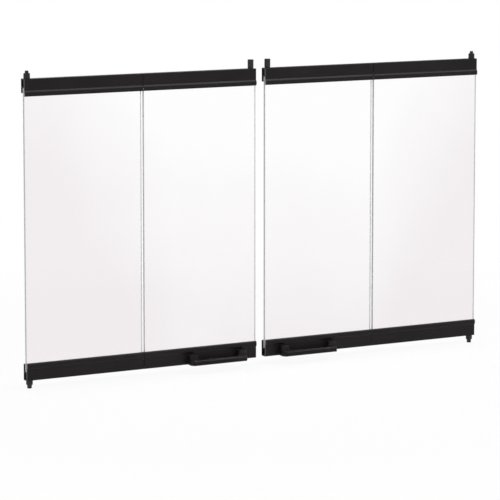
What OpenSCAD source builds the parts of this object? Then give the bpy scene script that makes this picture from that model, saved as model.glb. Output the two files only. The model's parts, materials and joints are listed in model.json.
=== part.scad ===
// Bi-fold glass door set for a fireplace opening: two pairs of frameless glass panels.
// Each outer panel swings on pivot pins at the jamb, and the inner panel folds on its back hinges
// while its guide pin runs in an overhead track.
// The origin is on the left pivot axis, at the shoulder of the bottom pivot pin.
// X runs to the right, Y into the fireplace and Z up. Sizes are in millimetres.

/* [Panels] */
// Width of one panel
panel_w = 223; // [190:0.5:340]
// Gap between the two panels of a pair
panel_gap = 1.5; // [1:0.5:6]
// Gap between the two closed pairs
pair_gap = 19; // [4:1:40]
// Height of the door, from rail edge to rail edge
door_h = 514; // [300:1:800]
// Thickness of the glass
glass_t = 4.8; // [4:0.1:5]
// How far the glass stops short of the rails at the fold
glass_setback = 1.5; // [0.5:0.5:4]

/* [Rails] */
// Height of a rail
rail_h = 30; // [28:0.5:36]
// Depth of a rail, without its bead
rail_d = 13.5; // [13.5:0.5:20]
// Wall thickness of the extrusion
wall = 1.6; // [1.4:0.1:1.8]
// Height of the moulded bead along the glass
bead_h = 10.5; // [8.5:0.5:11]
// How far the bead stands proud of the rail's face
bead_proud = 2; // [1:0.5:2.5]

/* [Pivots and guides] */
// Distance from the pivot axis to the end of the rail
pin_inset = 7.5; // [7.5:0.5:12]
// Diameter of the bottom pivot's tip, which stands in the floor bracket
tip_d = 7.95; // [5:0.05:8]
// Length of the bottom pivot's tip
tip_l = 6.5; // [4:0.5:7]
// Diameter of the sprung tip at the top
top_tip_d = 6.35; // [5:0.05:6.5]
// Length of the sprung tip, which retracts by as much
top_tip_l = 4; // [3.5:0.5:6]
// Outer diameter of the guide sleeve
sleeve_d = 10.5; // [9.5:0.5:11]
// Length of the guide sleeve
sleeve_l = 15; // [10:0.5:24]

/* [Handles] */
// Distance from the free end of the pair to the middle of the handle
handle_from_end = 83; // [75:1:100]
// Spacing of the handle's screws
handle_pitch = 100; // [80:1:110]
// How far the handle stands forward of the rail
handle_reach = 24; // [22:0.5:32]

/* [Hidden] */

$fn = 48;
eps = 0.01;

// Finishes
satin_black = [0.10, 0.10, 0.10];
zinc = [0.72, 0.73, 0.74];
black_steel = [0.20, 0.20, 0.21];
clear_glass = [0.85, 0.92, 0.90, 0.35];
grey_vinyl = [0.45, 0.45, 0.44];
black_nylon = [0.14, 0.14, 0.15];

// Rail section: distances are measured from the rail's face and from its outer edge
cap_t = 2;
chamber_h = 11.5;
web_v = cap_t + chamber_h;
slot_v = web_v + wall;
glass_u = 2.2;
tape_t = glass_u - wall;
slot_d = glass_t + 2 * tape_t;
leg_t = 1.4;
top_rear_v = 24.5;
bottom_rear_v = 28;
front_y = -rail_d / 2;
rear_y = rail_d / 2;

// Heights
flange_t = 1.6;
lock_nut_t = 2;
height_nut_t = 3;
washer_t = 0.8;
bottom_z = flange_t + lock_nut_t + height_nut_t + washer_t;
top_z = bottom_z + door_h;
glass_z0 = bottom_z + slot_v + tape_t;
glass_z1 = top_z - slot_v - tape_t;

// Places along X, within the left pair
outer_x0 = -pin_inset;
outer_x1 = outer_x0 + panel_w;
inner_x0 = outer_x1 + panel_gap;
inner_x1 = inner_x0 + panel_w;
fold_x = (outer_x1 + inner_x0) / 2;
outer_glass_x1 = outer_x1 - glass_setback;
inner_glass_x0 = inner_x0 + glass_setback;
guide_x = 2 * fold_x;
handle_x = inner_x1 - handle_from_end;
right_pivot_x = 2 * inner_x1 + pair_gap;

// Fits
running = 0.05;
loose = 0.25;

// Pivot and guide hardware
tip_taper_l = 0.8;
tip_taper_r = 0.7;
pin_d = 6.35;
flange_d = 11.5;
nut_af = 11.1;
housing_l = 30;
housing_gap = 0.1;
housing_recess = 2;
nose_d = 11.2;
nose_h = 9.5;
nose_round_r = 1.8;
plunger_neck_d = top_tip_d + 0.45;
plunger_bore_d = 8.5;
plunger_collar_t = 2;
nose_roof = 2;
spring_wire = 0.8;
spring_turns = 6;
spring_r = plunger_bore_d / 2 - 1;
spring_v0 = -nose_h + nose_roof + plunger_collar_t + spring_wire / 2;
spring_v1 = web_v - spring_wire / 2;
spring_steps = 14;
spring_sides = 6;
guide_pin_d = 6;
guide_head_d = 8;
guide_head_t = 1.4;
guide_flange_t = 0.8;

// Hinges
leaf_t = 1.5;
leaf_w = 30;
leaf_h = 20;
leaf_v = 3.2;
knuckle_r = 3;
knuckle_h = leaf_h / 3;
hinge_pin_r = 1.45;
knuckle_bore_r = hinge_pin_r + running;
knuckle_gap = 0.2;
fold_y = rear_y + knuckle_r;
leaf_screws_at = [[10, 19.2], [24, 19.2], [17, 8]];
leaf_root = 1;

// Screws
screw_r = 1.7;
screw_head_r = 3;
screw_head_t = 1.3;
housing_screw_v = cap_t + chamber_h / 2;
housing_screw_dx = 15;

// Handle
handle_z = bottom_z + 0.5;
handle_t = 9.3;
handle_foot_h = 18;
handle_bar_d = 9;
handle_gap_w = 84;
handle_back_w = 114;
handle_front_w = 104;
handle_foot_w = 110;
handle_corner_r = 2.5;
handle_screw_z = 8.5;

// Points of an arc round [x, y], from angle a0 to a1
function arc(x, y, r, a0, a1, steps = 6) = [
    for (i = [0 : steps])
        let (a = a0 + (a1 - a0) * i / steps)
            [x + r * cos(a), y + r * sin(a)]
];

// The right pair is the mirror image of the left one
module right() {
    translate([right_pivot_x, 0, 0]) mirror([1, 0, 0]) children();
}

// A section drawn as [depth behind the face, distance from the outer edge] becomes a length along X
module along_x(x0, x1) {
    translate([x0, front_y, 0]) rotate([90, 0, 90]) linear_extrude(height = x1 - x0) children();
}

// Puts what is drawn upwards from a bottom edge at the bottom, or hangs it from the top edge
module at_bottom() {
    translate([0, 0, bottom_z]) children();
}

module at_top() {
    translate([0, 0, top_z]) mirror([0, 0, 1]) children();
}

// A hexagonal prism by its width across flats
module hexagon(af, h) {
    cylinder(d = af / cos(30), h = h, $fn = 6);
}

// Extrusion section: a chamber for the pin housings, a slot for the glass and a hollow box behind it
module rail_section(rear_v) {
    edge_r = 1;
    rear_r = 1;
    fillet_r = 0.4 * bead_proud;
    shoulder_r = bead_proud - fillet_r;
    lip_r = bead_proud + 1.2;
    slope_a = 34;
    slope_l = bead_proud * cos(slope_a) / sin(slope_a);
    rise = bead_proud * sin(slope_a) + slope_l * cos(slope_a);
    bead_v = rail_h - bead_h;
    slot_u = wall + slot_d;
    difference() {
        polygon(concat(
            arc(edge_r, edge_r, edge_r, 270, 180),
            arc(-fillet_r, bead_v, fillet_r, 0, slope_a),
            arc(shoulder_r - bead_proud, bead_v + rise, shoulder_r, 180 + slope_a, 180),
            arc(lip_r - bead_proud, rail_h - lip_r, lip_r, 180, 90),
            [[wall, rail_h], [wall, slot_v], [slot_u, slot_v]],
            [[slot_u, rear_v], [rail_d, rear_v]],
            arc(rail_d - rear_r, rear_r, rear_r, 0, -90)
        ));
        translate([wall, cap_t]) square([rail_d - 2 * wall, chamber_h]);
        translate([slot_u + leg_t, slot_v])
            square([rail_d - wall - slot_u - leg_t, rear_v - leg_t - slot_v]);
    }
}

// Holes in the rear wall for the shanks of one hinge leaf's screws
module leaf_screw_holes(dir) {
    for (at = leaf_screws_at)
        translate([fold_x + dir * at[0], rear_y - wall - eps, at[1]])
            rotate([-90, 0, 0]) cylinder(r = screw_r + running, h = wall + 2 * eps);
}

// Hole in the rear wall for the screw that holds a pin housing
module housing_screw_hole(x) {
    translate([x, rear_y - wall - eps, housing_screw_v])
        rotate([-90, 0, 0]) cylinder(r = screw_r + running, h = wall + 2 * eps);
}

// Round hole through the outer wall
module cap_hole(x, d) {
    translate([x, 0, -eps]) cylinder(d = d, h = cap_t + 2 * eps);
}

module outer_bottom_rail() {
    color(satin_black) at_bottom() difference() {
        along_x(outer_x0, outer_x1) rail_section(bottom_rear_v);
        cap_hole(0, pin_d + 2 * loose);
        leaf_screw_holes(-1);
        housing_screw_hole(housing_screw_dx);
    }
}

module outer_top_rail() {
    color(satin_black) at_top() difference() {
        along_x(outer_x0, outer_x1) rail_section(top_rear_v);
        cap_hole(0, nose_d + 2 * running);
        leaf_screw_holes(-1);
        housing_screw_hole(housing_screw_dx);
    }
}

module inner_top_rail() {
    color(satin_black) at_top() difference() {
        along_x(inner_x0, inner_x1) rail_section(top_rear_v);
        cap_hole(guide_x, guide_pin_d + 2 * loose);
        leaf_screw_holes(1);
        housing_screw_hole(guide_x - housing_screw_dx);
    }
}

// The handle's screws pass the face wall, and larger holes in the rear wall let a driver reach them
module inner_bottom_rail() {
    access_r = 4;
    color(satin_black) at_bottom() difference() {
        along_x(inner_x0, inner_x1) rail_section(bottom_rear_v);
        leaf_screw_holes(1);
        for (s = [-1, 1])
            translate([handle_x + s * handle_pitch / 2, 0, handle_screw_z]) rotate([-90, 0, 0]) {
                translate([0, 0, front_y - eps]) cylinder(r = screw_r + running, h = wall + 2 * eps);
                translate([0, 0, rear_y - wall - eps]) cylinder(r = access_r, h = wall + 2 * eps);
            }
    }
}

// One pane, with its cut edges ground to a small chamfer
module pane(x0, x1) {
    chamfer = 0.6;
    y0 = front_y + glass_u;
    y1 = y0 + glass_t;
    translate([0, 0, glass_z0]) linear_extrude(height = glass_z1 - glass_z0) polygon([
        [x0 + chamfer, y0], [x1 - chamfer, y0], [x1, y0 + chamfer], [x1, y1 - chamfer],
        [x1 - chamfer, y1], [x0 + chamfer, y1], [x0, y1 - chamfer], [x0, y0 + chamfer]
    ]);
}

module outer_glass() {
    color(clear_glass) pane(outer_x0, outer_glass_x1);
}

module inner_glass() {
    color(clear_glass) pane(inner_glass_x0, inner_x1);
}

// U-shaped glazing channel round the glass edge, in one rail
module glazing_section(depth) {
    translate([wall, slot_v]) difference() {
        square([slot_d, depth]);
        translate([tape_t, tape_t]) square([glass_t, depth]);
    }
}

module glazing(x0, x1) {
    color(grey_vinyl) {
        at_bottom() along_x(x0, x1) glazing_section(bottom_rear_v - slot_v);
        at_top() along_x(x0, x1) glazing_section(top_rear_v - slot_v);
    }
}

// Block that fills the chamber of a rail next to its end
module housing_block(x0, x1) {
    g = housing_gap;
    translate([x0, front_y + wall + g, cap_t])
        cube([x1 - x0, rail_d - 2 * wall - 2 * g, chamber_h - g]);
}

// Blind pilot hole for the screw from the back
module housing_pilot(x) {
    depth = 6.5;
    translate([x, rear_y - wall - housing_gap - depth, housing_screw_v])
        rotate([-90, 0, 0]) cylinder(r = screw_r, h = depth + eps);
}

module bottom_pivot_housing() {
    color(black_nylon) at_bottom() difference() {
        housing_block(outer_x0 + housing_recess, outer_x0 + housing_l);
        cylinder(d = pin_d + 2 * running, h = web_v);
        housing_pilot(housing_screw_dx);
    }
}

// The domed nose stands above the rail and guides the sprung plunger
module top_pivot_housing() {
    color(black_nylon) at_top() difference() {
        union() {
            housing_block(outer_x0 + housing_recess, outer_x0 + housing_l);
            rotate_extrude() polygon(concat(
                [[0, cap_t + eps], [0, -nose_h]],
                arc(nose_d / 2 - nose_round_r, nose_round_r - nose_h, nose_round_r, -90, 0),
                [[nose_d / 2, cap_t + eps]]
            ));
        }
        translate([0, 0, -nose_h - eps]) cylinder(d = plunger_neck_d + 2 * running, h = nose_roof + 2 * eps);
        translate([0, 0, -nose_h + nose_roof]) cylinder(d = plunger_bore_d, h = nose_h + web_v);
        housing_pilot(housing_screw_dx);
    }
}

// Pin with a tapered tip and the collar that the spring pushes on
module top_pivot_plunger() {
    tip_r = top_tip_d / 2;
    neck_r = plunger_neck_d / 2;
    collar_r = plunger_bore_d / 2 - running;
    color(black_steel) translate([0, 0, top_z + nose_h - nose_roof]) rotate_extrude() polygon([
        [0, -plunger_collar_t], [collar_r, -plunger_collar_t], [collar_r, 0], [neck_r, 0],
        [neck_r, nose_roof], [tip_r, nose_roof], [tip_r, nose_roof + top_tip_l - tip_taper_l],
        [tip_r - tip_taper_r, nose_roof + top_tip_l], [0, nose_roof + top_tip_l]
    ]);
}

// Compression spring under the plunger's collar, as one swept coil
module coil(r, z0, z1, turns, wire_r) {
    rings = turns * spring_steps;
    n = spring_sides;
    points = [
        for (i = [0 : rings], k = [0 : n - 1])
            let (a = 360 * i / spring_steps, b = 360 * k / n)
                [(r + wire_r * cos(b)) * cos(a), (r + wire_r * cos(b)) * sin(a),
                 z0 + (z1 - z0) * i / rings + wire_r * sin(b)]
    ];
    sides = [
        for (i = [0 : rings - 1], k = [0 : n - 1])
            let (p = i * n + k, q = i * n + (k + 1) % n)
                each [[p, p + n, q], [q, p + n, q + n]]
    ];
    start = [for (k = [1 : n - 2]) [0, k, k + 1]];
    end = [for (k = [1 : n - 2]) [rings * n, rings * n + k + 1, rings * n + k]];
    polyhedron(points = points, faces = concat(start, sides, end));
}

module top_pivot_spring() {
    color(zinc) at_top() coil(spring_r, spring_v0, spring_v1, spring_turns, spring_wire / 2);
}

// Bottom pin: a tip for the bracket, a shoulder flange and a shank that the door turns on
module bottom_pivot_pin() {
    tip_r = tip_d / 2;
    shank_end = bottom_z + web_v - 0.5;
    color(black_steel) rotate_extrude() polygon([
        [0, -tip_l], [tip_r - tip_taper_r, -tip_l], [tip_r, -tip_l + tip_taper_l], [tip_r, 0],
        [flange_d / 2, 0], [flange_d / 2, flange_t], [pin_d / 2, flange_t],
        [pin_d / 2, shank_end - 1], [pin_d / 2 - 1, shank_end], [0, shank_end]
    ]);
}

// Hexagonal nut bored to the pin
module pin_nut(z0, t) {
    translate([0, 0, z0]) difference() {
        hexagon(nut_af, t);
        translate([0, 0, -eps]) cylinder(d = pin_d + 2 * running, h = t + 2 * eps);
    }
}

module lock_nut() {
    color(black_steel) pin_nut(flange_t, lock_nut_t);
}

module height_nut() {
    color(black_steel) pin_nut(flange_t + lock_nut_t, height_nut_t);
}

module thrust_washer() {
    color(black_nylon) translate([0, 0, bottom_z - washer_t]) difference() {
        cylinder(d = flange_d, h = washer_t);
        translate([0, 0, -eps]) cylinder(d = pin_d + 2 * running, h = washer_t + 2 * eps);
    }
}

module guide_housing() {
    color(black_nylon) at_top() difference() {
        housing_block(inner_x1 - housing_l, inner_x1 - housing_recess);
        translate([guide_x, 0, 0]) cylinder(d = guide_pin_d + 2 * running, h = web_v);
        housing_pilot(guide_x - housing_screw_dx);
    }
}

// Stepped pin: the sleeve turns between its flange and its flush head
module guide_pin() {
    head_z = guide_flange_t + sleeve_l;
    foot_z = -web_v + 1;
    color(black_steel) translate([guide_x, 0, top_z]) rotate_extrude() polygon([
        [0, foot_z], [guide_pin_d / 2, foot_z], [guide_pin_d / 2, 0], [sleeve_d / 2 - 0.5, 0],
        [sleeve_d / 2 - 0.5, guide_flange_t - running], [guide_pin_d / 2, guide_flange_t - running],
        [guide_pin_d / 2, head_z - guide_head_t + running],
        [guide_head_d / 2, head_z - guide_head_t + running],
        [guide_head_d / 2, head_z], [0, head_z]
    ]);
}

// Round sleeve that rolls along the track, with a counterbore for the pin's head
module guide_sleeve() {
    edge = 0.5;
    r = sleeve_d / 2;
    bore_r = guide_pin_d / 2 + running;
    head_r = guide_head_d / 2 + loose;
    color(black_steel) translate([guide_x, 0, top_z + guide_flange_t]) rotate_extrude() polygon([
        [bore_r, 0], [r - edge, 0], [r, edge], [r, sleeve_l - edge], [r - edge, sleeve_l],
        [head_r, sleeve_l], [head_r, sleeve_l - guide_head_t], [bore_r, sleeve_l - guide_head_t]
    ]);
}

// Three knuckles along one hinge: the outer leaf has the ones at its two ends
module knuckle(i) {
    translate([fold_x, fold_y, leaf_v + i * knuckle_h + (i > 0 ? knuckle_gap / 2 : 0)])
        cylinder(r = knuckle_r, h = knuckle_h - (i == 1 ? knuckle_gap : knuckle_gap / 2));
}

// A leaf is a plate with rounded far corners, its own knuckles and notches for the other leaf's
module hinge_leaf(dir, own, other) {
    corner = 4;
    clear_r = knuckle_r + 0.5;
    difference() {
        union() {
            translate([fold_x, rear_y, leaf_v]) rotate([90, 0, 0]) mirror([0, 0, 1])
                linear_extrude(height = leaf_t) polygon(concat(
                    [[dir * leaf_root, 0]],
                    arc(dir * (leaf_w - corner), corner, corner, -90, dir > 0 ? 0 : -180),
                    arc(dir * (leaf_w - corner), leaf_h - corner, corner, dir > 0 ? 0 : 180, 90),
                    [[dir * leaf_root, leaf_h]]
                ));
            for (i = own) knuckle(i);
        }
        for (i = other)
            translate([fold_x, fold_y, leaf_v + i * knuckle_h - (i > 0 ? knuckle_gap / 2 : 1)])
                cylinder(r = clear_r, h = knuckle_h + (i == 1 ? knuckle_gap : knuckle_gap / 2 + 1));
        translate([fold_x, fold_y, leaf_v - 1]) cylinder(r = knuckle_bore_r, h = leaf_h + 2);
        for (at = leaf_screws_at)
            translate([fold_x + dir * at[0], rear_y - eps, at[1]])
                rotate([-90, 0, 0]) cylinder(r = screw_r + running, h = leaf_t + 2 * eps);
    }
}

module outer_hinge_leaf() {
    color(satin_black) hinge_leaf(-1, [0, 2], [1]);
}

module inner_hinge_leaf() {
    color(satin_black) hinge_leaf(1, [1], [0, 2]);
}

// Hinge pin with a button head on the knuckles' end
module hinge_pin() {
    head_t = 1;
    translate([fold_x, fold_y, leaf_v]) cylinder(r = hinge_pin_r, h = leaf_h + eps);
    translate([fold_x, fold_y, leaf_v + leaf_h]) cylinder(r = hinge_pin_r + 0.9, h = head_t);
}

module hinge_pins() {
    color(zinc) {
        at_bottom() hinge_pin();
        translate([0, 0, top_z - leaf_h - 2 * leaf_v]) hinge_pin();
    }
}

// Pan-head screw along Y with its head's underside at y and its shank towards the front
module screw_from_back(x, y, z, shank) {
    edge = 0.4;
    translate([x, y, z]) rotate([-90, 0, 0]) {
        translate([0, 0, -shank]) cylinder(r = screw_r, h = shank + eps);
        cylinder(r = screw_head_r, h = screw_head_t - edge);
        translate([0, 0, screw_head_t - edge])
            cylinder(r1 = screw_head_r, r2 = screw_head_r - edge, h = edge);
    }
}

module leaf_screws(dir) {
    for (at = leaf_screws_at)
        screw_from_back(fold_x + dir * at[0], rear_y + leaf_t, at[1], leaf_t + wall + 1);
}

module outer_hinge_screws() {
    color(zinc) {
        at_bottom() leaf_screws(-1);
        at_top() leaf_screws(-1);
    }
}

module inner_hinge_screws() {
    color(zinc) {
        at_bottom() leaf_screws(1);
        at_top() leaf_screws(1);
    }
}

module outer_housing_screws() {
    color(zinc) {
        at_bottom() screw_from_back(housing_screw_dx, rear_y, housing_screw_v, wall + 5.5);
        at_top() screw_from_back(housing_screw_dx, rear_y, housing_screw_v, wall + 5.5);
    }
}

module inner_housing_screw() {
    color(zinc) at_top() screw_from_back(guide_x - housing_screw_dx, rear_y, housing_screw_v, wall + 5.5);
}

// Plan of the handle: a bar with slanted ends on two legs, and the finger gap between them
module handle_plan() {
    r = handle_corner_r;
    gap_d = handle_reach - handle_bar_d;
    gap_r = 4;
    difference() {
        polygon(concat(
            [[-handle_foot_w / 2, 0], [-handle_back_w / 2, -gap_d]],
            arc(-handle_front_w / 2 + r, -handle_reach + r, r, 200, 270),
            arc(handle_front_w / 2 - r, -handle_reach + r, r, 270, 340),
            [[handle_back_w / 2, -gap_d], [handle_foot_w / 2, 0]]
        ));
        polygon(concat(
            [[-handle_gap_w / 2 - 1, eps]],
            arc(-handle_gap_w / 2 + gap_r, -gap_d + gap_r, gap_r, 180, 270),
            arc(handle_gap_w / 2 - gap_r, -gap_d + gap_r, gap_r, 270, 360),
            [[handle_gap_w / 2 + 1, eps]]
        ));
    }
}

// Side of the handle: tall feet with a steep front above the bar, whose front edges are rounded
module handle_side() {
    top_r = 4.5;
    under_r = 2.5;
    foot_share = 0.75;
    gap_d = handle_reach - handle_bar_d;
    polygon(concat(
        [[0, 0], [0, handle_foot_h], [-gap_d * foot_share, handle_foot_h], [-gap_d, handle_t]],
        arc(-handle_reach + top_r, handle_t - top_r, top_r, 90, 180),
        arc(-handle_reach + under_r, under_r, under_r, 180, 270)
    ));
}

module handle() {
    pilot_l = 9;
    color(satin_black) translate([handle_x, front_y, handle_z]) difference() {
        intersection() {
            linear_extrude(height = handle_foot_h) handle_plan();
            translate([-handle_back_w, 0, 0]) rotate([90, 0, 90])
                linear_extrude(height = 2 * handle_back_w) handle_side();
        }
        for (s = [-1, 1])
            translate([s * handle_pitch / 2, -pilot_l, bottom_z + handle_screw_z - handle_z])
                rotate([-90, 0, 0]) cylinder(r = screw_r, h = pilot_l + eps);
    }
}

module handle_screws() {
    color(zinc) for (s = [-1, 1])
        screw_from_back(handle_x + s * handle_pitch / 2, front_y + wall, bottom_z + handle_screw_z, wall + 8);
}

bottom_pivot_pin();  // left_bottom_pivot_pin
height_nut();  // left_height_nut
lock_nut();  // left_lock_nut
thrust_washer();  // left_thrust_washer
outer_glass();  // left_outer_glass
glazing(outer_x0, outer_glass_x1);  // left_outer_glazing
outer_top_rail();  // left_outer_top_rail
outer_bottom_rail();  // left_outer_bottom_rail
top_pivot_housing();  // left_top_pivot_housing
bottom_pivot_housing();  // left_bottom_pivot_housing
outer_housing_screws();  // left_outer_housing_screws
at_top() outer_hinge_leaf();  // left_outer_top_hinge_leaf
at_bottom() outer_hinge_leaf();  // left_outer_bottom_hinge_leaf
hinge_pins();  // left_hinge_pins
outer_hinge_screws();  // left_outer_hinge_screws
top_pivot_plunger();  // left_top_pivot_plunger
top_pivot_spring();  // left_top_pivot_spring
inner_glass();  // left_inner_glass
glazing(inner_glass_x0, inner_x1);  // left_inner_glazing
inner_top_rail();  // left_inner_top_rail
inner_bottom_rail();  // left_inner_bottom_rail
guide_housing();  // left_guide_housing
guide_pin();  // left_guide_pin
guide_sleeve();  // left_guide_sleeve
inner_housing_screw();  // left_inner_housing_screw
at_top() inner_hinge_leaf();  // left_inner_top_hinge_leaf
at_bottom() inner_hinge_leaf();  // left_inner_bottom_hinge_leaf
inner_hinge_screws();  // left_inner_hinge_screws
handle();  // left_handle
handle_screws();  // left_handle_screws

right() bottom_pivot_pin();  // right_bottom_pivot_pin
right() height_nut();  // right_height_nut
right() lock_nut();  // right_lock_nut
right() thrust_washer();  // right_thrust_washer
right() outer_glass();  // right_outer_glass
right() glazing(outer_x0, outer_glass_x1);  // right_outer_glazing
right() outer_top_rail();  // right_outer_top_rail
right() outer_bottom_rail();  // right_outer_bottom_rail
right() top_pivot_housing();  // right_top_pivot_housing
right() bottom_pivot_housing();  // right_bottom_pivot_housing
right() outer_housing_screws();  // right_outer_housing_screws
right() at_top() outer_hinge_leaf();  // right_outer_top_hinge_leaf
right() at_bottom() outer_hinge_leaf();  // right_outer_bottom_hinge_leaf
right() hinge_pins();  // right_hinge_pins
right() outer_hinge_screws();  // right_outer_hinge_screws
right() top_pivot_plunger();  // right_top_pivot_plunger
right() top_pivot_spring();  // right_top_pivot_spring
right() inner_glass();  // right_inner_glass
right() glazing(inner_glass_x0, inner_x1);  // right_inner_glazing
right() inner_top_rail();  // right_inner_top_rail
right() inner_bottom_rail();  // right_inner_bottom_rail
right() guide_housing();  // right_guide_housing
right() guide_pin();  // right_guide_pin
right() guide_sleeve();  // right_guide_sleeve
right() inner_housing_screw();  // right_inner_housing_screw
right() at_top() inner_hinge_leaf();  // right_inner_top_hinge_leaf
right() at_bottom() inner_hinge_leaf();  // right_inner_bottom_hinge_leaf
right() inner_hinge_screws();  // right_inner_hinge_screws
right() handle();  // right_handle
right() handle_screws();  // right_handle_screws
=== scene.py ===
import json
import math

import bmesh
import bpy
from mathutils import Matrix, Vector


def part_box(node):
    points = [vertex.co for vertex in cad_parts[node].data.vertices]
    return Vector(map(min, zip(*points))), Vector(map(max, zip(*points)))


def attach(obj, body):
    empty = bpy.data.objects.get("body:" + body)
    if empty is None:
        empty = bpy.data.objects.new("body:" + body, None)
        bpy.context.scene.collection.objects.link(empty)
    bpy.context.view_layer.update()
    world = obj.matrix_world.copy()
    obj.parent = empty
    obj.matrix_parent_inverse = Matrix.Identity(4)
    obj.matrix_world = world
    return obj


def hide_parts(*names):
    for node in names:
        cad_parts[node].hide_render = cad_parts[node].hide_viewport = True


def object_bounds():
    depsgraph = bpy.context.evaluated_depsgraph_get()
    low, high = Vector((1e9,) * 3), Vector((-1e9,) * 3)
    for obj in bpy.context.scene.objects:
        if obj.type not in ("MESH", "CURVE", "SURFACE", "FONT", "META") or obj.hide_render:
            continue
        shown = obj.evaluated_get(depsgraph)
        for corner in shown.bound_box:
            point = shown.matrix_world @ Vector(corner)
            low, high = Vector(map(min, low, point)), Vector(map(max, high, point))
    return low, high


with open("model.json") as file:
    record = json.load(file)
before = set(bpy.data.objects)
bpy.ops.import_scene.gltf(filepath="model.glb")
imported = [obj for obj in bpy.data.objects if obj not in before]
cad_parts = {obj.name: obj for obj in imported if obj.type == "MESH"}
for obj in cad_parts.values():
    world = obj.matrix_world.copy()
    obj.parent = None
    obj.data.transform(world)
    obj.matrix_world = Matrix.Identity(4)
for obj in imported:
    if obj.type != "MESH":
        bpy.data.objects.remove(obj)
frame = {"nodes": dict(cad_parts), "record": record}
cad_low, cad_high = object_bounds()
nodes = frame["nodes"]
record = frame["record"]
node_body = {
    name: body for body, names in record["behaviour"]["bodies"].items() for name in names
}
node_slot = {part["node"]: part["material_slot"] for part in record["subparts"]}
SIDES = ("left", "right")
PANELS = ("outer", "inner")
MM = 0.001
WHITE = (1, 1, 1, 1)
GLASS_LOW, GLASS_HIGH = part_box("left_outer_glass")
FACE_WALL_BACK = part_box("left_outer_glazing")[0].y
MIDDLE_X = (cad_low[0] + cad_high[0]) / 2

# ---------------------------------------------------------------- shader nodes


class Nodes:
    """An emptied node tree with short ways to add nodes and links to it."""

    def __init__(self, tree):
        self.tree = tree
        self.tree.nodes.clear()

    def add(self, kind, inputs=None, **settings):
        """A new node with its settings, and with values for its input sockets."""
        node = self.tree.nodes.new(kind)
        for key, value in settings.items():
            setattr(node, key, value)
        for socket, value in (inputs or {}).items():
            node.inputs[socket].default_value = value
        return node

    def link(self, source, target):
        self.tree.links.new(source, target)

    def math(self, operation, first, second=None):
        """A calculation with one or two operands, each a number or a socket."""
        node = self.add("ShaderNodeMath", operation=operation)
        for socket, value in zip(node.inputs, (first, second)):
            if value is None:
                continue
            if isinstance(value, (int, float)):
                socket.default_value = value
            else:
                self.link(value, socket)
        return node.outputs[0]

    def map_range(self, source, start, end, low=0.0, high=1.0):
        """A straight line from low to high as source goes from start to end, level beyond them."""
        node = self.add("ShaderNodeMapRange", {
            "From Min": start, "From Max": end, "To Min": low, "To Max": high,
        })
        self.link(source, node.inputs["Value"])
        return node.outputs[0]

    def blend(self, factor, first, second):
        """The first shader where the factor is 0, the second where it is 1."""
        node = self.add("ShaderNodeMixShader")
        for socket, source in zip(node.inputs, (factor, first, second)):
            self.link(source, socket)
        return node.outputs[0]


class Shader(Nodes):
    """A material with one Principled shader and short ways to shape its look."""

    def __init__(self, name, color, roughness, metallic=0.0, specular=0.5):
        self.material = bpy.data.materials.new(name)
        self.material.use_nodes = True
        super().__init__(self.material.node_tree)
        self.surface = self.add("ShaderNodeOutputMaterial").inputs["Surface"]
        self.bsdf = self.add("ShaderNodeBsdfPrincipled", {
            "Base Color": (*color, 1),
            "Roughness": roughness,
            "Metallic": metallic,
            "Specular IOR Level": specular,
        })
        self.link(self.bsdf.outputs[0], self.surface)
        self.coords = self.add("ShaderNodeTexCoord")

    def set(self, socket, value):
        self.bsdf.inputs[socket].default_value = value

    def drive(self, socket, source):
        self.link(source, self.bsdf.inputs[socket])

    def noise(self, scale, detail, stretch=(1, 1, 1)):
        """Noise between about 0.25 and 0.75, in the piece's own metres."""
        mapping = self.add("ShaderNodeMapping", {"Scale": stretch})
        self.link(self.coords.outputs["Object"], mapping.inputs["Vector"])
        texture = self.add("ShaderNodeTexNoise", {"Scale": scale, "Detail": detail})
        self.link(mapping.outputs[0], texture.inputs["Vector"])
        return texture.outputs[0]

    def ramp(self, source, low, high, start=0.3, end=0.7):
        """A grey or colour ramp from low to high as source goes from start to end."""
        node = self.add("ShaderNodeValToRGB")
        for element, place, value in zip(node.color_ramp.elements, (start, end), (low, high)):
            element.position = place
            element.color = (*value, 1) if isinstance(value, tuple) else (value, value, value, 1)
        self.link(source, node.inputs[0])
        return node.outputs[0]

    def mix(self, factor, low, high):
        """A colour mix; low and high are colours or sockets."""
        node = self.add("ShaderNodeMix", data_type="RGBA")
        self.link(factor, node.inputs[0])
        for socket, value in ((node.inputs[6], low), (node.inputs[7], high)):
            if isinstance(value, tuple):
                socket.default_value = (*value, 1)
            else:
                self.link(value, socket)
        return node.outputs[2]

    def mean(self, first, second):
        return self.math("MULTIPLY", self.math("ADD", first, second), 0.5)

    def bump(self, height, distance):
        node = self.add("ShaderNodeBump", {"Strength": 1.0, "Distance": distance})
        self.link(height, node.inputs["Height"])
        self.drive("Normal", node.outputs[0])

    def edges(self, radius, start, end):
        """1 where the surface turns sharply within the radius, 0 on flats."""
        bevel = self.add("ShaderNodeBevel", {"Radius": radius}, samples=4)
        geometry = self.add("ShaderNodeNewGeometry")
        dot = self.add("ShaderNodeVectorMath", operation="DOT_PRODUCT")
        self.link(bevel.outputs[0], dot.inputs[0])
        self.link(geometry.outputs["Normal"], dot.inputs[1])
        return self.map_range(dot.outputs["Value"], start, end)

    def component(self, vector, axis):
        split = self.add("ShaderNodeSeparateXYZ")
        self.link(self.coords.outputs[vector], split.inputs[0])
        return split.outputs["XYZ".index(axis)]

    def facing(self, axis):
        """How much the piece's own surface faces along an axis, 0 to 1."""
        return self.math("ABSOLUTE", self.component("Normal", axis))

    def place(self, axis):
        """Where the surface is along one of the piece's own axes, in metres."""
        return self.component("Object", axis)


def tint(tone, red, green, blue):
    """A grey tone with its red, green and blue each scaled."""
    return (tone * red, tone * green, tone * blue)


# ---------------------------------------------------------------- materials

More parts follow.
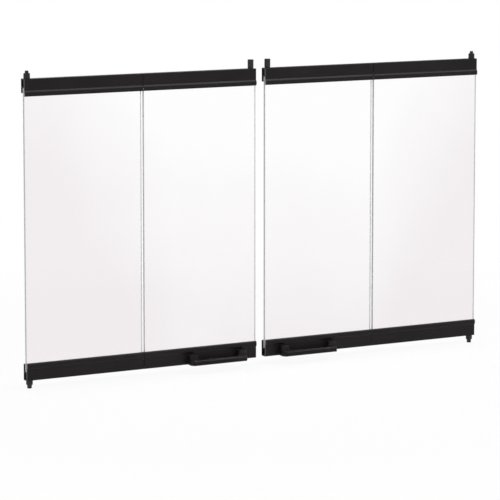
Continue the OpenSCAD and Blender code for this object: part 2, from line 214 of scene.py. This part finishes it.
GLASS_IOR = 1.5
LAMP_PASS = (0.9, 0.9, 0.9, 1)
THREAD_SPACING = 0.9 * MM
SAWN_FACING = 0.9
SAWN_METAL = 0.75
# The glass is tinted darker towards the jambs, more the further it is from a line a little right
# of the middle
DIMMING_MIDDLE_X = MIDDLE_X + 30 * MM
DIMMING_START = 200 * MM
DIMMING_FULL = MIDDLE_X
DIMMING_AT_JAMB = 0.8


def powder_coat(name, tone, roughness, specular, sawn_ends=False):
    """Satin black powder coat: fine orange peel, drawn lines, slightly rubbed edges.
    An extrusion cut to length after coating shows dull aluminium where its face wall ends."""
    shader = Shader(name, (tone, tone, tone), roughness, specular=specular)
    patch = shader.noise(scale=14, detail=4)
    lines = shader.noise(scale=420, detail=2, stretch=(0.02, 1, 1))
    peel = shader.noise(scale=1500, detail=3)
    cool = tint(tone, 0.98, 0.86, 0.88)
    warm = tint(tone, 1.35, 1.12, 1.12)
    coat = shader.ramp(patch, cool, warm)
    sharp = shader.edges(radius=0.7 * MM, start=0.995, end=0.80)
    rubbed = shader.math("MULTIPLY", sharp, shader.noise(scale=240, detail=4))
    finish = shader.mix(rubbed, coat, tint(tone, 2.9, 2.8, 2.8))
    spread = shader.mean(patch, lines)
    gloss = shader.ramp(spread, roughness - 0.06, roughness + 0.07, start=0.35, end=0.65)
    relief = shader.math("ADD", peel, shader.math("MULTIPLY", lines, 0.35))
    if sawn_ends:
        face_wall = shader.math("LESS_THAN", shader.place("Y"), FACE_WALL_BACK)
        rail_end = shader.math("GREATER_THAN", shader.facing("X"), SAWN_FACING)
        sawn = shader.math("MULTIPLY", rail_end, face_wall)
        strokes = shader.noise(scale=900, detail=3, stretch=(1, 1, 0.08))
        bare = shader.ramp(strokes, (0.13, 0.13, 0.132), (0.21, 0.21, 0.212))
        finish = shader.mix(sawn, finish, bare)
        gloss = shader.mix(sawn, gloss, (0.5, 0.5, 0.5))
        relief = shader.mix(sawn, relief, strokes)
        shader.drive("Metallic", shader.math("MULTIPLY", sawn, SAWN_METAL))
    shader.drive("Base Color", finish)
    shader.drive("Roughness", gloss)
    shader.bump(relief, distance=0.045 * MM)
    return shader.material


def plated_steel(name, tone, roughness, metallic, specular=0.5):
    """Turned or formed steel: cloudy plating, fine turning marks round the pin's own axis."""
    shader = Shader(name, tint(tone, 1, 1, 1.02), roughness, metallic, specular)
    cloud = shader.noise(scale=160, detail=5)
    marks = shader.noise(scale=2600, detail=2, stretch=(0.15, 0.15, 1))
    dull, bright = tint(tone, 0.82, 0.82, 0.84), tint(tone, 1.15, 1.15, 1.17)
    shader.drive("Base Color", shader.ramp(cloud, dull, bright))
    spread = shader.mean(cloud, marks)
    gloss = shader.ramp(spread, roughness - 0.08, roughness + 0.1, start=0.35, end=0.65)
    shader.drive("Roughness", gloss)
    shader.bump(marks, distance=0.012 * MM)
    return shader.material


def moulded_nylon(name, tone, roughness):
    """Moulded nylon with a fine spark-eroded grain and faint flow marks."""
    shader = Shader(name, (tone, tone, tone), roughness, specular=0.35)
    flow = shader.noise(scale=60, detail=4, stretch=(1, 1, 0.4))
    grain = shader.noise(scale=2200, detail=2)
    dull, bright = tint(tone, 0.85, 0.85, 0.87), tint(tone, 1.15, 1.15, 1.15)
    shader.drive("Base Color", shader.ramp(flow, dull, bright))
    shader.drive("Roughness", shader.ramp(flow, roughness - 0.05, roughness + 0.08))
    shader.bump(grain, distance=0.03 * MM)
    return shader.material


def glazing_tape(name, tone):
    """Woven glass-fibre channel: two crossing sets of fine threads, with painted shade where the
    weave sinks.
    """
    shader = Shader(name, (tone, tone, tone), roughness=0.85, specular=0.2)
    threads = []
    for axis in ("X", "Z"):
        turns = shader.math("MULTIPLY", shader.place(axis), 2 * math.pi / THREAD_SPACING)
        threads.append(shader.math("SINE", turns))
    weave = shader.math("MULTIPLY", threads[0], threads[1])
    dirt = shader.noise(scale=90, detail=4)
    raised = shader.ramp(dirt, tint(tone, 0.8, 0.8, 0.78), tint(tone, 1.15, 1.15, 1.12))
    # Painted shade: the low points of the weave are coloured darker
    sunken_shade = tint(tone, 0.55, 0.55, 0.54)
    height = shader.ramp(weave, 0.0, 1.0, start=0.0, end=1.0)
    shader.drive("Base Color", shader.mix(height, sunken_shade, raised))
    shader.bump(weave, distance=0.08 * MM)
    return shader.material


def let_lamps_pass(shader):
    """Light from the lamps goes straight through, so that glass casts only a faint shadow."""
    passing = shader.add("ShaderNodeBsdfTransparent", {"Color": LAMP_PASS})
    shadow_ray = shader.add("ShaderNodeLightPath").outputs["Is Shadow Ray"]
    either = shader.blend(shadow_ray, shader.bsdf.outputs[0], passing.outputs[0])
    shader.link(either, shader.surface)


def clear_glass(name):
    """Tempered glass, tinted darker and slightly pink low down and towards the jambs.
    The left jamb is tinted a little more than the right one."""
    shader = Shader(name, (0.93, 0.90, 0.91), roughness=0.0)
    shader.set("IOR", GLASS_IOR)
    shader.set("Transmission Weight", 1.0)
    height = shader.map_range(shader.place("Z"), GLASS_LOW.z, GLASS_HIGH.z)
    off_middle = shader.math("SUBTRACT", shader.place("X"), DIMMING_MIDDLE_X)
    off_middle = shader.math("ABSOLUTE", off_middle)
    jamb = shader.map_range(off_middle, DIMMING_START, DIMMING_FULL, high=DIMMING_AT_JAMB)
    cloud = shader.math("MULTIPLY", shader.noise(scale=5, detail=4), 0.5)
    lightness = shader.math("SUBTRACT", shader.math("ADD", height, cloud), jamb)
    # The glass colour is darker and slightly pink low down and towards the jambs
    dimmed, clear = (0.885, 0.845, 0.857), (0.985, 0.983, 0.984)
    shader.drive("Base Color", shader.ramp(lightness, dimmed, clear, start=0.15, end=1.0))
    film = shader.noise(scale=9, detail=5)
    shader.drive("Roughness", shader.ramp(film, 0.0, 0.015, start=0.5, end=0.8))
    let_lamps_pass(shader)
    return shader.material


def ground_glass(name):
    """The ground edge of a pane: frosted and pale."""
    shader = Shader(name, (0.6, 0.62, 0.61), roughness=0.45)
    shader.set("IOR", GLASS_IOR)
    shader.set("Transmission Weight", 0.3)
    patch = shader.noise(scale=240, detail=4)
    shader.drive("Base Color", shader.ramp(patch, (0.50, 0.52, 0.515), (0.66, 0.67, 0.67)))
    shader.bump(shader.noise(scale=1800, detail=3), distance=0.02 * MM)
    let_lamps_pass(shader)
    return shader.material


RAIL_BLACK = powder_coat("rail_black", 0.0125, roughness=0.38, specular=0.12, sawn_ends=True)
HANDLE_BLACK = powder_coat("handle_black", 0.0100, roughness=0.36, specular=0.11)
HINGE_BLACK = powder_coat("hinge_black", 0.008, roughness=0.42, specular=0.25)
GLASS = clear_glass("tempered_glass")
GROUND_EDGE = ground_glass("ground_edge")
TAPE = glazing_tape("glazing_tape", 0.17)
ZINC = plated_steel("zinc_plate", 0.55, roughness=0.34, metallic=1.0)
SPRING = plated_steel("spring_wire", 0.42, roughness=0.28, metallic=1.0)
BLACK_STEEL = plated_steel("blackened_steel", 0.028, 0.34, metallic=0.0, specular=0.22)
NYLON = moulded_nylon("moulded_nylon", 0.008, roughness=0.42)

SLOT_MATERIALS = {
    "satin_black_rail": RAIL_BLACK,
    "satin_black_handle": HANDLE_BLACK,
    "black_hinge": HINGE_BLACK,
    "clear_glass": GLASS,
    "grey_glazing": TAPE,
    "zinc_steel": ZINC,
    "spring_steel": SPRING,
    "black_steel": BLACK_STEEL,
    "black_nylon": NYLON,
}
for name, obj in nodes.items():
    obj.data.materials.clear()
    obj.data.materials.append(SLOT_MATERIALS[node_slot[name]])

# ---------------------------------------------------------------- pieces

SMOOTH_ANGLE = 40
SEAM = 1e-6
FLAT_WITHIN = math.radians(0.5)


def from_bmesh(name, bm, material, smooth_angle=SMOOTH_ANGLE):
    """A mesh object that is smooth below the angle and sharp above it."""
    mesh = bpy.data.meshes.new(name)
    bmesh.ops.recalc_face_normals(bm, faces=bm.faces)
    bm.to_mesh(mesh)
    bm.free()
    mesh.materials.append(material)
    mesh.shade_smooth()
    mesh.set_sharp_from_angle(angle=math.radians(smooth_angle))
    obj = bpy.data.objects.new(name, mesh)
    bpy.context.scene.collection.objects.link(obj)
    return obj


def around(steps):
    """The angles of so many equal steps round a circle."""
    return [2 * math.pi * i / steps for i in range(steps)]


def lathe(bm, profile, steps):
    """Turns (radius, height) points round Z; a radius of 0 closes the shape."""
    rings = []
    for radius, height in profile:
        if radius == 0:
            rings.append([bm.verts.new((0, 0, height))])
            continue
        rings.append([
            bm.verts.new((radius * math.cos(a), radius * math.sin(a), height))
            for a in around(steps)
        ])
    for low, high in zip(rings, rings[1:]):
        for i in range(steps):
            j = (i + 1) % steps
            corners = []
            for ring, step in ((low, i), (low, j), (high, j), (high, i)):
                vert = ring[step % len(ring)]
                if vert not in corners:
                    corners.append(vert)
            bm.faces.new(corners)


def applied(obj):
    """Puts an object's modifiers into its mesh."""
    bpy.context.view_layer.update()
    evaluated = obj.evaluated_get(bpy.context.evaluated_depsgraph_get())
    mesh = bpy.data.meshes.new_from_object(evaluated)
    obj.modifiers.clear()
    obj.data = mesh
    return obj


def cut(obj, cutter):
    """Takes the cutter's shape out of obj."""
    modifier = obj.modifiers.new("cut", "BOOLEAN")
    modifier.operation = "DIFFERENCE"
    modifier.solver = "EXACT"
    modifier.object = cutter
    applied(obj)
    bpy.data.objects.remove(cutter)
    return obj


def stand_for(piece, node):
    """The piece takes the place of one CAD node, on its body."""
    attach(piece, node_body[node])
    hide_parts(node)


def copied(node):
    """A bmesh of a CAD node with its seams joined and its flat faces whole."""
    bm = bmesh.new()
    bm.from_mesh(nodes[node].data)
    bmesh.ops.remove_doubles(bm, verts=bm.verts, dist=SEAM)
    bmesh.ops.dissolve_limit(bm, angle_limit=FLAT_WITHIN, verts=bm.verts, edges=bm.edges)
    return bm


def solids(node):
    """The lowest and highest corners of each separate solid in a CAD node."""
    bm = copied(node)
    boxes, seen = [], set()
    for start in bm.verts:
        if start in seen:
            continue
        seen.add(start)
        group, queue = [], [start]
        while queue:
            vert = queue.pop()
            group.append(vert.co.copy())
            for edge in vert.link_edges:
                other = edge.other_vert(vert)
                if other not in seen:
                    seen.add(other)
                    queue.append(other)
        boxes.append(tuple(
            Vector(pick(point[i] for point in group) for i in range(3)) for pick in (min, max)
        ))
    bm.free()
    return boxes


# ---------------------------------------------------------------- glass

PANE_ARRIS = 0.6 * MM
PANE_FLAT_ANGLE = 5
BOX_FACES = ((0, 1, 3, 2), (4, 6, 7, 5), (0, 4, 5, 1), (2, 3, 7, 6), (0, 2, 6, 4), (1, 5, 7, 3))


def pane(node):
    """A tempered pane with ground edges and small rounded arrises."""
    low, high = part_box(node)
    bm = bmesh.new()
    corners = [
        bm.verts.new((x, y, z))
        for x in (low.x, high.x) for y in (low.y, high.y) for z in (low.z, high.z)
    ]
    for quad in BOX_FACES:
        bm.faces.new([corners[i] for i in quad])
    bmesh.ops.recalc_face_normals(bm, faces=bm.faces)
    arrises = [e for e in bm.edges if abs(e.verts[0].co.y - e.verts[1].co.y) < SEAM]
    bmesh.ops.bevel(
        bm, geom=arrises, offset=PANE_ARRIS, segments=3, profile=0.6, affect="EDGES"
    )
    bm.normal_update()
    for face in bm.faces:
        face.material_index = 0 if abs(face.normal.y) > 0.999 else 1
    piece = from_bmesh(node + "_pane", bm, GLASS, PANE_FLAT_ANGLE)
    piece.data.materials.append(GROUND_EDGE)
    stand_for(piece, node)


for side in SIDES:
    for panel in PANELS:
        pane(f"{side}_{panel}_glass")

# ---------------------------------------------------------------- screws

SHANK_R = 1.7 * MM
TIP_R = 0.55 * SHANK_R
TIP_LENGTH = 1.2 * MM
HEAD_T = 1.3 * MM
HEAD_BREAK = 0.12 * MM
# Shares of the head's radius, and of its height for the wall below the dome
HEAD_FLAT = 0.45
HEAD_UNDERSIDE = 0.96
HEAD_WALL = 0.35
HEAD_ARCS = 6
THREAD_PITCH = 0.8 * MM
THREAD_DEPTH = 0.25 * MM
THREAD_RUNOUT = 0.4 * MM
# Shares of the pitch, where the thread's root begins and ends
ROOT_START = 0.3
ROOT_END = 0.7
SCREW_STEPS = 28
RECESS_ARM = 1.75 * MM
RECESS_HALF_W = 0.42 * MM
RECESS_DEPTH = 1.0 * MM
RECESS_ABOVE = 0.5 * MM
RECESS_STRAIGHT = 0.3 * MM
RECESS_TAPER = 0.5
# How far the screws of a set are turned, in radians
FIRST_TURN = 0.4
NEXT_TURN = 1.1
SCREW_SETS = (
    "outer_housing_screws",
    "inner_housing_screw",
    "outer_hinge_screws",
    "inner_hinge_screws",
    "handle_screws",
)


def recess_cutter(top):
    """A tapering cross, for the drive recess of a screw whose head ends at the height top."""
    bm = bmesh.new()
    arm = (
        (RECESS_HALF_W, -RECESS_HALF_W), (RECESS_ARM, -RECESS_HALF_W), (RECESS_ARM, RECESS_HALF_W)
    )
    outline = []
    for quarter in range(4):
        turn = Matrix.Rotation(quarter * math.pi / 2, 3, "Z")
        outline += [turn @ Vector((*point, 0)) for point in arm]
    levels = (
        (top + RECESS_ABOVE, 1.0), (top - RECESS_STRAIGHT, 1.0), (top - RECESS_DEPTH, RECESS_TAPER)
    )
    rings = []
    for height, share in levels:
        rings.append([bm.verts.new(p * share + Vector((0, 0, height))) for p in outline])
    for high, low in zip(rings, rings[1:]):
        for i in range(len(outline)):
            j = (i + 1) % len(outline)
            bm.faces.new((high[i], high[j], low[j], low[i]))
    bm.faces.new(rings[0])
    bm.faces.new(rings[-1])
    return from_bmesh("recess", bm, ZINC)


def pan_screw(length, head_r):
    """A thread-forming pan head screw along its own Z, with its tip at 0 and its top at length."""
    under = length - HEAD_T
    root_r = SHANK_R - THREAD_DEPTH
    profile = [(0, 0), (TIP_R, 0), (SHANK_R, TIP_LENGTH)]
    z = TIP_LENGTH
    while z + THREAD_PITCH < under - THREAD_RUNOUT:
        profile += [(root_r, z + share * THREAD_PITCH) for share in (ROOT_START, ROOT_END)]
        z += THREAD_PITCH
        profile.append((SHANK_R, z))
    profile += [
        (SHANK_R, under), (head_r * HEAD_UNDERSIDE, under), (head_r, under + HEAD_BREAK)
    ]
    for i in range(1, HEAD_ARCS + 1):
        turn = math.pi / 2 * i / HEAD_ARCS
        radius = head_r * (HEAD_FLAT + (1 - HEAD_FLAT) * math.cos(turn))
        height = HEAD_T * (HEAD_WALL + (1 - HEAD_WALL) * math.sin(turn))
        profile.append((radius, under + height))
    profile.append((0, length))
    bm = bmesh.new()
    lathe(bm, profile, SCREW_STEPS)
    screw = from_bmesh("screw", bm, ZINC)
    return cut(screw, recess_cutter(length))


def screws(node):
    """Every screw of a node: their heads are at the back, each turned by a different amount."""
    bm = bmesh.new()
    boxes = sorted(solids(node), key=lambda box: (box[0].x, box[0].z))
    low, high = boxes[0]
    model = pan_screw(length=high.y - low.y, head_r=(high.x - low.x) / 2)
    for i, (low, high) in enumerate(boxes):
        middle = (low + high) / 2
        place = Matrix.Translation((middle.x, low.y, middle.z))
        place = place @ Matrix.Rotation(-math.pi / 2, 4, "X")
        place = place @ Matrix.Rotation(FIRST_TURN + NEXT_TURN * i, 4, "Z")
        mesh = model.data.copy()
        mesh.transform(place)
        bm.from_mesh(mesh)
        bpy.data.meshes.remove(mesh)
    bpy.data.objects.remove(model)
    stand_for(from_bmesh(node + "_driven", bm, ZINC, smooth_angle=35), node)


# ---------------------------------------------------------------- nuts

NUT_SIDES = 6
NUT_STEPS = 8 * NUT_SIDES
NUT_CHAMFER = math.tan(math.radians(30))
# The flat face's radius as a share of half the width across flats
NUT_RING = 0.96
PIN_R = 3.175 * MM
PIN_PLAY = 0.05 * MM


def nut(node, bore_r):
    """A hexagonal nut with its corners turned to a 30 degree chamfer."""
    low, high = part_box(node)
    center = (low + high) / 2
    flat_r = (high.y - low.y) / 2
    ring_r = NUT_RING * flat_r
    bm = bmesh.new()

    def ring(radius_of, height_of):
        points = []
        for turn in around(NUT_STEPS):
            radius = radius_of(turn)
            x = center.x + radius * math.cos(turn)
            y = center.y + radius * math.sin(turn)
            points.append(bm.verts.new((x, y, height_of(radius))))
        return points

    def hexagon(turn):
        sector = math.pi / NUT_SIDES
        return flat_r / math.cos((turn - math.pi / 2 + sector) % (2 * sector) - sector)

    def drop(radius):
        return (radius - ring_r) * NUT_CHAMFER

    rings = [
        ring(lambda turn: bore_r, lambda radius: high.z),
        ring(lambda turn: ring_r, lambda radius: high.z),
        ring(hexagon, lambda radius: high.z - drop(radius)),
        ring(hexagon, lambda radius: low.z + drop(radius)),
        ring(lambda turn: ring_r, lambda radius: low.z),
        ring(lambda turn: bore_r, lambda radius: low.z),
    ]
    for one, two in zip(rings, rings[1:] + rings[:1]):
        for i in range(NUT_STEPS):
            j = (i + 1) % NUT_STEPS
            bm.faces.new((one[i], one[j], two[j], two[i]))
    stand_for(from_bmesh(node + "_turned", bm, BLACK_STEEL, smooth_angle=25), node)


for side in SIDES:
    for name in SCREW_SETS:
        screws(f"{side}_{name}")
    for name in ("height_nut", "lock_nut"):
        nut(f"{side}_{name}", PIN_R + PIN_PLAY)

# ---------------------------------------------------------------- handles

HANDLE_ROUND = 1.5 * MM
HANDLE_EDGE_ANGLE = math.radians(35)


def handle(node):
    """A handle's CAD shape with its sharp edges rounded."""
    piece = from_bmesh(node + "_soft", copied(node), HANDLE_BLACK)
    modifier = piece.modifiers.new("edges", "BEVEL")
    modifier.width = HANDLE_ROUND
    modifier.segments = 4
    modifier.limit_method = "ANGLE"
    modifier.angle_limit = HANDLE_EDGE_ANGLE
    modifier.use_clamp_overlap = True
    modifier.harden_normals = True
    stand_for(applied(piece), node)


for side in SIDES:
    handle(f"{side}_handle")

# ---------------------------------------------------------------- floor and room

FLOOR_Z = cad_low[2]
FLOOR_HALF = 40.0
# The floor's share of plain white: this much up to NEAR from the middle, all of it from FAR on
FLOOR_NEAR_WHITE = 0.9
FLOOR_NEAR = 0.75
FLOOR_FAR = 1.3
# The room's strength as a light, and as the camera and glass see it
ROOM_LIGHT = 0.5
ROOM_SEEN = 1.0


def seen_white(shader, share):
    """The shader as it is for the light's own bounces, and so much of plain white over it for
    what the camera, mirrors and glass see."""
    path = shader.add("ShaderNodeLightPath")
    seen = shader.math("MAXIMUM", path.outputs["Is Camera Ray"], path.outputs["Is Glossy Ray"])
    seen = shader.math("MAXIMUM", seen, path.outputs["Is Transmission Ray"])
    white = shader.add("ShaderNodeEmission", {"Strength": 1.0})
    factor = shader.math("MULTIPLY", seen, share)
    blend = shader.blend(factor, shader.bsdf.outputs[0], white.outputs[0])
    shader.link(blend, shader.surface)


def pale_floor(name):
    """A matt floor that keeps a faint shadow near the door and is plain white further off."""
    shader = Shader(name, (0.82, 0.82, 0.82), roughness=0.9, specular=0.1)
    patch = shader.noise(scale=3, detail=2)
    shader.drive("Base Color", shader.ramp(patch, (0.81, 0.81, 0.81), (0.83, 0.83, 0.83)))
    away = shader.add("ShaderNodeVectorMath", operation="LENGTH")
    shader.link(shader.coords.outputs["Object"], away.inputs[0])
    share = shader.map_range(away.outputs["Value"], FLOOR_NEAR, FLOOR_FAR, low=FLOOR_NEAR_WHITE)
    seen_white(shader, share)
    return shader.material


floor_mesh = bpy.data.meshes.new("floor")
floor_mesh.from_pydata(
    [(x, y, FLOOR_Z) for x, y in ((-1, -1), (1, -1), (1, 1), (-1, 1))], [], [(0, 1, 2, 3)]
)
floor_mesh.transform(Matrix.Diagonal((FLOOR_HALF, FLOOR_HALF, 1, 1)))
floor_mesh.materials.append(pale_floor("pale_floor"))
floor_obj = bpy.data.objects.new("floor", floor_mesh)
floor_obj.location.x = MIDDLE_X
bpy.context.scene.collection.objects.link(floor_obj)

world = bpy.data.worlds.new("studio")
world.use_nodes = True
bpy.context.scene.world = world
sky = Nodes(world.node_tree)
room = sky.add("ShaderNodeBackground", {"Color": WHITE, "Strength": ROOM_LIGHT})
behind = sky.add("ShaderNodeBackground", {"Color": WHITE, "Strength": ROOM_SEEN})
ray = sky.add("ShaderNodeLightPath").outputs
looked_at = sky.math("MAXIMUM", ray["Is Camera Ray"], ray["Is Transmission Ray"])
sky_out = sky.add("ShaderNodeOutputWorld")
sky.link(sky.blend(looked_at, room.outputs[0], behind.outputs[0]), sky_out.inputs["Surface"])

# ---------------------------------------------------------------- lamps

LAMP_AIM = Vector((0.45, 0, 0.26))
# Name, place, size in metres and power in watts
SOFTBOXES = (
    ("key", (1.9, -1.45, 2.9), 1.5, 52),
    ("fill", (-2.6, -1.0, 1.5), 1.4, 20),
    ("rear", (0.6, 3.0, 2.4), 2.4, 34),
)
for name, place, size, watts in SOFTBOXES:
    lamp = bpy.data.lights.new(name, "AREA")
    lamp.shape = "SQUARE"
    lamp.size = size
    lamp.energy = watts
    lamp_obj = bpy.data.objects.new(name, lamp)
    lamp_obj.location = place
    lamp_obj.rotation_euler = (LAMP_AIM - Vector(place)).to_track_quat("-Z", "Y").to_euler()
    bpy.context.scene.collection.objects.link(lamp_obj)

# ---------------------------------------------------------------- camera

# Fitted to the rail edges and pins in the photograph, which is a 500 px square
FRAME_PX = 500
FOCAL_PX = 2826.8
SENSOR = 36.0
SHIFT_Y = -0.15
CAMERA_PLACE = (-2.018, -4.2943, 0.9155)
PITCH = math.radians(6.7163)
YAW = math.radians(29.7)
FAR_CLIP = 200

camera_data = bpy.data.cameras.new("camera")
camera_data.sensor_width = SENSOR
camera_data.sensor_fit = "HORIZONTAL"
camera_data.lens = FOCAL_PX / FRAME_PX * SENSOR
camera_data.shift_y = SHIFT_Y
camera_data.clip_end = FAR_CLIP
camera = bpy.data.objects.new("camera", camera_data)
camera.location = CAMERA_PLACE
camera.rotation_euler = (math.pi / 2 - PITCH, 0, -YAW)
bpy.context.scene.collection.objects.link(camera)
bpy.context.scene.camera = camera
bpy.context.scene.view_settings.view_transform = "Standard"
